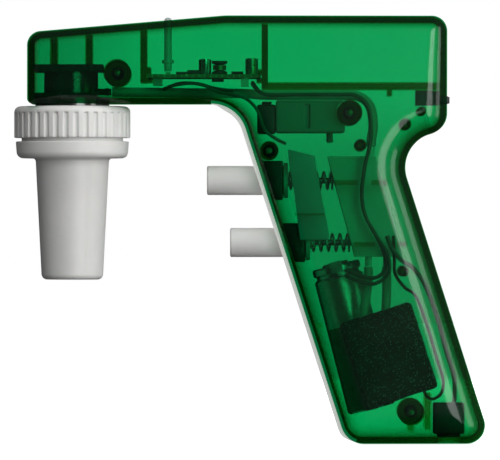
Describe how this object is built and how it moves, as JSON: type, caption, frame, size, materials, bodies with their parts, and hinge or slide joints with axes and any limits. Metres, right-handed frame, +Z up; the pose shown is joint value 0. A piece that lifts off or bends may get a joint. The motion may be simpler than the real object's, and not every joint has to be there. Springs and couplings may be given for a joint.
{
  "type": "motorized pipette controller",
  "caption": "Pistol-grip motorized pipette controller with see-through housing, two push buttons, ribbed collar, nosecone and internal pump, valves and battery.",
  "frame": {"origin": "centre of the nosecone's mouth, on the pipette's axis", "axes": "+Z up the pipette's axis, +X back along the arm towards the handle, Y across the housing; the housing halves meet at Y = 0"},
  "size_m": [0.1567, 0.0386, 0.1423],
  "materials": {
    "green_shell": "transparent green, polished",
    "white_plastic": "fine satin",
    "black_plastic": "fine texture",
    "grey_plastic": "fine texture",
    "teal_plastic": "satin",
    "frosted_plastic": "frosted",
    "clear_plastic": "clear, polished",
    "silicone": "satin",
    "black_rubber": "satin",
    "foam": "open-cell foam",
    "steel": "bright",
    "brass_contact": "plated",
    "copper": "enamelled wire",
    "board_green": "solder mask",
    "ivory_plastic": "satin",
    "hose": "satin",
    "cable_black": "satin",
    "cable_red": "satin",
    "sleeve_film": "shrink film",
    "membrane": "felted",
    "ferrite": "sintered"
  },
  "bodies": {
    "housing": {"left_shell": "green_shell", "right_shell": "green_shell", "front_trim": "white_plastic", "housing_screws": "steel", "nose_mount": "black_plastic", "nose_seal": "black_rubber", "upper_button_guide": "black_plastic", "lower_button_guide": "black_plastic", "upper_spring": "steel", "lower_spring": "steel", "valve_body": "frosted_plastic", "valve_seals": "black_rubber", "valve_bracket": "teal_plastic", "air_manifold": "grey_plastic", "manifold_cap": "black_plastic", "main_hose": "hose", "pump_hoses": "hose", "control_board": "board_green", "board_chips": "black_plastic", "inductor_core": "ferrite", "inductor_winding": "copper", "capacitors": "sleeve_film", "board_connectors": "ivory_plastic", "status_led": "clear_plastic", "light_pipe": "clear_plastic", "board_lead": "cable_black", "battery_lead": "cable_black", "charge_lead": "cable_black", "motor_lead": "cable_red", "pump_foam": "foam", "pump_head": "grey_plastic", "pump_diaphragm": "black_rubber", "motor_can": "steel", "motor_magnets": "ferrite", "motor_end_cap": "black_plastic", "motor_terminals": "brass_contact", "battery_can": "steel", "battery_sleeve": "sleeve_film", "battery_tabs": "brass_contact", "charge_socket": "black_plastic", "socket_pin": "brass_contact", "switch_body": "black_plastic"},
    "nose": {"nosecone": "white_plastic", "pipette_holder": "silicone", "filter_housing": "ivory_plastic", "filter_membrane": "membrane"},
    "collar": {"collar_ring": "white_plastic"},
    "upper_button_set": {"upper_button": "white_plastic", "upper_stem": "steel"},
    "lower_button_set": {"lower_button": "white_plastic", "lower_stem": "steel"},
    "pump_rotor": {"motor_armature": "copper", "motor_shaft": "steel", "eccentric": "ivory_plastic"},
    "mode_knob": {"mode_slider": "black_plastic"}
  },
  "joints": [
    {"name": "nose_drop", "type": "slide", "parent": "housing", "child": "nose", "axis": [0, 0, -1], "range_m": [0, 0.006]},
    {"name": "collar_turn", "type": "hinge", "parent": "nose", "child": "collar", "pos_m": [0, 0, 0.052], "axis": [0, 0, -1], "range_deg": [0, 730]},
    {"name": "upper_button_press", "type": "slide", "parent": "housing", "child": "upper_button_set", "axis": [1, 0, 0], "range_m": [0, 0.0045], "stiffness_N_per_m": 350, "springref_m": -0.002, "deforming": ["upper_spring"]},
    {"name": "lower_button_press", "type": "slide", "parent": "housing", "child": "lower_button_set", "axis": [1, 0, 0], "range_m": [0, 0.0045], "stiffness_N_per_m": 350, "springref_m": -0.002, "deforming": ["lower_spring"]},
    {"name": "pump_spin", "type": "hinge", "parent": "housing", "child": "pump_rotor", "pos_m": [0.1052, -0.00835, -0.0252], "axis": [-0.309, 0, 0.9511], "continuous": true},
    {"name": "mode_slide", "type": "slide", "parent": "housing", "child": "mode_knob", "axis": [0, 1, 0], "range_m": [-0.002, 0.002]}
  ],
  "couplings": [
    {"joint": "collar_turn", "follows": "nose_drop", "rad_per_m": 2094.4}
  ]
}
